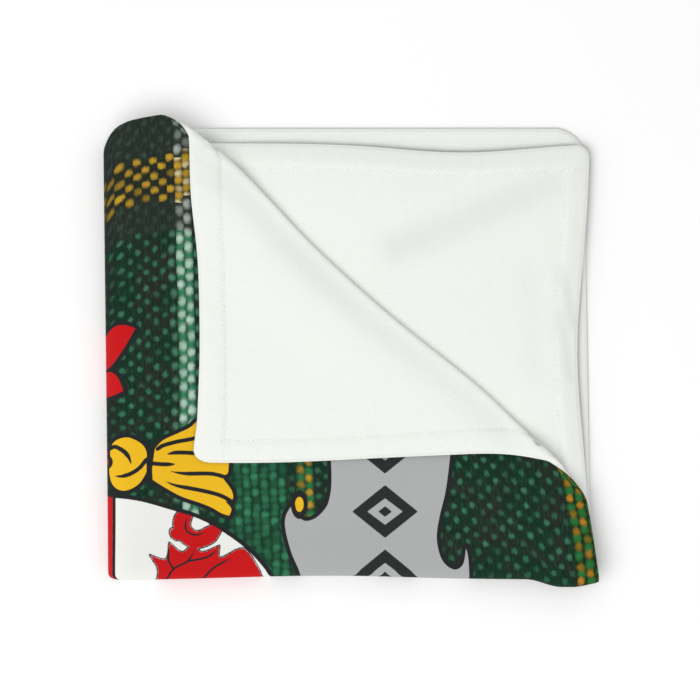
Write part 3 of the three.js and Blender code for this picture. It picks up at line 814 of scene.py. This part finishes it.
class Floats:
    """One set of the weave's floats: which one a place is in, and how far it is from its middle."""

    def __init__(self, steps, turn):
        number = p.sum("ROUND", steps)
        self.chance = p.speck(p.sum("ADD", column, turn), number)
        self.luck = p.speck(p.sum("ADD", column, turn + 0.4), number)
        self.off_row = p.sum("MULTIPLY", p.sum("SUBTRACT", steps, number), FLOAT_PITCH)
        sway = p.sum("MULTIPLY", p.sum("SUBTRACT", self.luck, 0.5), 1.5)
        lift = p.sum("MULTIPLY", p.sum("SUBTRACT", self.chance, 0.5), 1.9)
        self.aside = p.sum("ADD", p.sum("ADD", column_offset, sway), waver(2.6, 3.0))
        self.ahead = p.sum("ADD", p.sum("ADD", self.off_row, lift), waver(2.1, 2.8))

    def shape(self, half_wide, half_long, outer=1.5, inner=0.3):
        """1 in the middle of each float, 0 outside, with a soft edge."""
        reach = p.sum("SQRT", p.sum("ADD", p.sum("POWER", p.sum("DIVIDE", self.aside, half_wide), 2.0),
                                    p.sum("POWER", p.sum("DIVIDE", self.ahead, half_long), 2.0)))
        return p.between(reach, outer, inner)


main = Floats(steps_along, 0.1)
between_floats = Floats(p.sum("ADD", steps_along, 0.5), 0.7)


def inside_limits(value, limits):
    """1 between the limits, 0 outside them."""
    return p.sum("MULTIPLY", p.sum("GREATER_THAN", value, limits[0]), p.sum("LESS_THAN", value, limits[1]))


def stripe(limits):
    """1 in the columns between the limits."""
    return inside_limits(column, limits)


patches = p.between(p.mottle(flat_place, 30, 3.0, 0.6), 0.44, 0.62)
ground = p.mix(patches, GREEN_GROUND, BROWN_GROUND)
warp = p.mottle(p.stretched(flat_place, (1, 0.25, 1)), 1.6, 2.0)
ground = p.mix(p.sum("MULTIPLY", p.between(warp, 0.5, 0.75), 0.22), ground, LIGHT_GREEN)
ground = p.mix(p.sum("MULTIPLY", p.between(warp, 0.5, 0.3), 0.4), ground, SHADOW_GREEN)
float_dye = p.mix(main.chance, GREEN_FLOAT, GREY_FLOAT)
float_depth = p.sum("ADD", p.sum("MULTIPLY", p.sum("POWER", main.luck, 1.2), 0.6), 0.34)
plain_float = p.sum("MULTIPLY", main.shape(2.4, 2.4, 1.35, 0.4), float_depth)
weave = p.mix(plain_float, ground, float_dye)

knit_zone = p.sum("MULTIPLY", p.between(across, *KNIT_LEFT), p.between(across, *KNIT_RIGHT))
knit = p.mix(main.shape(3.0, 3.3), dye(18, 54, 37), p.mix(main.luck, dye(32, 82, 56), dye(54, 126, 90)))
knit_between = p.mix(between_floats.luck, dye(24, 68, 47), dye(42, 104, 72))
knit = p.mix(between_floats.shape(3.0, 2.9), knit, knit_between)
weave = p.mix(knit_zone, weave, knit)

pale = stripe(PALE_COLUMNS)
beside_pale = p.sum("MULTIPLY", stripe((-1.5, 2.5)), 0.35)
weave = p.mix(p.sum("MULTIPLY", beside_pale, main.shape(3.0, 3.4)), weave, dye(96, 150, 122))
pale_ground = p.mix(between_floats.shape(3.4, 3.0), dye(26, 70, 50), dye(52, 122, 88))
pale_weave = p.mix(main.shape(3.5, 3.5), pale_ground, p.mix(main.luck, dye(146, 184, 162), PALE_FLOAT))
weave = p.mix(pale, weave, pale_weave)

gold_ground = p.mix(between_floats.shape(3.2, 3.0), dye(30, 56, 40), dye(38, 112, 64))
gold_weave = p.mix(main.shape(3.0, 2.9), gold_ground, p.mix(main.luck, dye(116, 100, 34), GOLD_FLOAT))
weave = p.mix(stripe(GOLD_STRIPE), weave, gold_weave)
edge_ground = p.mix(between_floats.shape(3.6, 3.4), dye(12, 38, 18), dye(38, 108, 52))
edge_weave = p.mix(main.shape(2.8, 2.8), edge_ground, p.mix(main.luck, dye(86, 88, 24), ORANGE_FLOAT))
weave = p.mix(stripe(EDGE_STRIPE), weave, edge_weave)

dark_zone = p.between(along_wobbly, *DARK_FROM)
dark_ground = p.mix(p.sum("MULTIPLY", p.between(warp, 0.45, 0.75), 0.5), DARK_BAND, DARK_BAND_FLOAT)
dark_weave = p.mix(p.sum("MULTIPLY", plain_float, 0.75), dark_ground, DARK_BAND_FLOAT)
dark_pale = p.mix(main.luck, dye(110, 122, 112), dye(178, 186, 178))
dark_pale = p.mix(main.shape(3.5, 3.7), dye(46, 54, 48), dark_pale)
dark_weave = p.mix(pale, dark_weave, dark_pale)
weave = p.mix(dark_zone, weave, dark_weave)
float_middle = p.sum("SUBTRACT", along_wobbly, main.off_row)
band = inside_limits(float_middle, GOLD_BAND)
band_dye = p.mix(main.luck, dye(112, 92, 30), GOLD_FLOAT)
band_weave = p.mix(main.shape(4.0, 2.6), dye(34, 40, 32), band_dye)
cream = p.mix(between_floats.luck, dye(150, 132, 84), CREAM_FLOAT)
pale_band = p.mix(between_floats.shape(3.4, 2.6), dye(62, 60, 38), cream)
pale_band = p.mix(main.shape(4.0, 2.8), pale_band, p.mix(main.luck, dye(150, 122, 40), GOLD_FLOAT))
weave = p.mix(band, weave, p.mix(pale, band_weave, pale_band))
# Painted shade: the print is darkened towards the side fold, where the cloth rounds away.
weave = p.mix(p.between(across, *FOLD_PAINTED_SHADE), weave, p.mix(0.55, weave, dye(12, 20, 16)))

fray = p.sum("MULTIPLY", p.sum("SUBTRACT", p.mottle(flat_place, 1.3, 2.0), 0.5), 0.5)


def printed_over(under, name, colour):
    """One dye printed over what is under it, with an edge as soft as the plush makes it."""
    depth = p.sum("ADD", p.attribute(name), fray)
    return p.mix(p.between(depth, 0.28, -0.28), under, colour)


cloth_colour = printed_over(weave, "white_dye", dye(231, 232, 227))
cloth_colour = printed_over(cloth_colour, "red_dye", dye(193, 20, 24))
cloth_colour = printed_over(cloth_colour, "gold_dye", dye(231, 182, 33))
cloth_colour = printed_over(cloth_colour, "grey_dye", dye(170, 172, 172))
cloth_colour = printed_over(cloth_colour, "lozenge_dye", dye(40, 44, 44))
cloth_colour = printed_over(cloth_colour, "ink_dye", dye(35, 36, 38))
shade = p.sum("ADD", 0.93, p.sum("MULTIPLY", tufts, 0.14))
shaded = p.tree.nodes.new("ShaderNodeVectorMath")
shaded.operation = "SCALE"
p.plug(cloth_colour, shaded.inputs[0])
p.plug(shade, shaded.inputs["Scale"])
p.plug(shaded.outputs[0], p.shader.inputs["Base Color"])
p.shader.inputs["Sheen Weight"].default_value = 0.03
p.shader.inputs["Sheen Roughness"].default_value = 0.5

# The white face: undyed plush, a little warm, its pile deeper to the eye than the printed one.
white_plush = Finish("white_plush")
flat_place, tufts = nap(white_plush, 0.28, 0.5)
w = white_plush
lying = w.mottle(flat_place, 60, 3.0, 0.6)
colour = w.mix(w.between(tufts, 0.25, 0.75), dye(231, 234, 228), dye(243, 245, 240))
colour = w.mix(w.sum("MULTIPLY", w.between(lying, 0.35, 0.7), 0.35), colour, dye(238, 240, 234))
# Painted shade: grey along the creases of the second leaf.
colour = w.mix(w.attribute("painted_crease_shade"), colour, dye(220, 223, 217))
w.plug(colour, w.shader.inputs["Base Color"])
w.shader.inputs["Sheen Weight"].default_value = 0.5
w.shader.inputs["Sheen Roughness"].default_value = 0.4

throw_mesh.materials.append(printed_plush.material)
throw_mesh.materials.append(white_plush.material)

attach(throw, "root")
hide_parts("blanket")

# ---------------------------------------------------------------------------------------------
# The stitches. White polyester thread, in one zigzag row all round, which holds the turned-in
# edge down. On the white face it sinks into the pile, and only its tops catch the light.
# ---------------------------------------------------------------------------------------------

STITCH = 3.4                       # from one peak of the zigzag to the next
ZIGZAG = 1.5                       # how far each stitch swings either way
THREAD_RADIUS = 0.27
CLEAR_OF_EDGE = 2.0                # where the rows that run right across begin and end

left, right = EDGE_WIDTH - LOWER_WIDTH, UPPER_WIDTH - EDGE_WIDTH
front, back = EDGE_WIDTH - INNER_DEPTH, OUTER_DEPTH - EDGE_WIDTH

stitching_curves = bpy.data.curves.new("edge_stitching", "CURVE")
stitching_curves.dimensions = "3D"
stitching_curves.bevel_depth = THREAD_RADIUS / 1000
stitching_curves.bevel_resolution = 0


def sew_row(start, end):
    """One zigzag row of stitches from one place on the flat sheet to another."""
    length = math.dist(start, end)
    count = round(length / STITCH * 2)
    share = np.linspace(0, 1, count + 1)
    swing = ZIGZAG * np.where(np.arange(count + 1) % 2, 1.0, -1.0)
    run_u, run_v = (end[0] - start[0]) / length, (end[1] - start[1]) / length
    stitch_u = start[0] + share * (end[0] - start[0]) - swing * run_v
    stitch_v = start[1] + share * (end[1] - start[1]) + swing * run_u
    sunk = thickness(stitch_u, stitch_v) + THREAD_RADIUS * 0.3
    places = printed_face(stitch_u, stitch_v) - facing(stitch_u, stitch_v) * sunk[:, None]
    row = stitching_curves.splines.new("POLY")
    row.points.add(count)
    for point, (x, y, z) in zip(row.points, places / 1000):
        point.co = (x, y, z, 1)


for v_row in (front, back):
    sew_row((CLEAR_OF_EDGE - LOWER_WIDTH, v_row), (UPPER_WIDTH - CLEAR_OF_EDGE, v_row))
for u_row in (left, right):
    sew_row((u_row, front), (u_row, back))
stitching_curve = bpy.data.objects.new("stitching_curve", stitching_curves)
stitching_mesh = bpy.data.meshes.new_from_object(stitching_curve)
bpy.data.objects.remove(stitching_curve)
stitching = bpy.data.objects.new("edge_stitching", stitching_mesh)
bpy.context.collection.objects.link(stitching)

thread = Finish("white_thread")
thread_place = thread.tree.nodes.new("ShaderNodeTexCoord").outputs["Object"]
twist = thread.mottle(thread_place, 0.5, 1.0)
thread.plug(thread.mix(twist, dye(244, 245, 241), dye(254, 254, 251)), thread.shader.inputs["Base Color"])
thread.plug(thread.raised(twist, 0.1), thread.shader.inputs["Normal"])
thread.shader.inputs["Roughness"].default_value = 0.55
# Painted light: the thread glows faintly so that the stitches read brighter than the plush.
thread.shader.inputs["Emission Color"].default_value = (1, 1, 0.98, 1)
thread.shader.inputs["Emission Strength"].default_value = 0.11
stitching_mesh.materials.clear()
stitching_mesh.materials.append(thread.material)

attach(stitching, "root")

# ---------------------------------------------------------------------------------------------
# The studio: a white floor, one large soft light high at the front left, the pale room for the
# rest, and the camera straight above on a long lens.
# ---------------------------------------------------------------------------------------------

floor_sheet = bmesh.new()
bmesh.ops.create_grid(floor_sheet, x_segments=1, y_segments=1, size=4.0)
floor_mesh = bpy.data.meshes.new("floor")
floor_sheet.to_mesh(floor_mesh)
floor_sheet.free()
floor = bpy.data.objects.new("floor", floor_mesh)
bpy.context.collection.objects.link(floor)
paper = Finish("white_paper")
paper.shader.inputs["Base Color"].default_value = dye(253, 253, 253)
paper.shader.inputs["Roughness"].default_value = 1.0
paper.shader.inputs["Specular IOR Level"].default_value = 0.0
floor_mesh.materials.append(paper.material)

room = bpy.data.worlds.new("room")
room.use_nodes = True
room.node_tree.nodes["Background"].inputs["Color"].default_value = (1, 1, 1, 1)
room.node_tree.nodes["Background"].inputs["Strength"].default_value = 0.70
bpy.context.scene.world = room

key = bpy.data.lights.new("key_light", "AREA")
key.shape = "DISK"
key.size = 2.6
key.energy = 38
key_light = bpy.data.objects.new("key_light", key)
key_light.location = (-1.05, -0.95, 2.4)
key_light.rotation_euler = (-key_light.location).to_track_quat("-Z", "Y").to_euler()
bpy.context.collection.objects.link(key_light)

CAMERA_HEIGHT = 3.0
PILE_TOP = 0.02
VIEW_WIDTH = 0.553                 # how much the camera sees at the height of the pile's top
lens = bpy.data.cameras.new("camera")
lens.sensor_width = 36
lens.lens = lens.sensor_width * (CAMERA_HEIGHT - PILE_TOP) / VIEW_WIDTH
camera = bpy.data.objects.new("camera", lens)
camera.location = (-0.0007, 0.0008, CAMERA_HEIGHT)
bpy.context.collection.objects.link(camera)
bpy.context.scene.camera = camera
bpy.context.scene.view_settings.view_transform = "Standard"
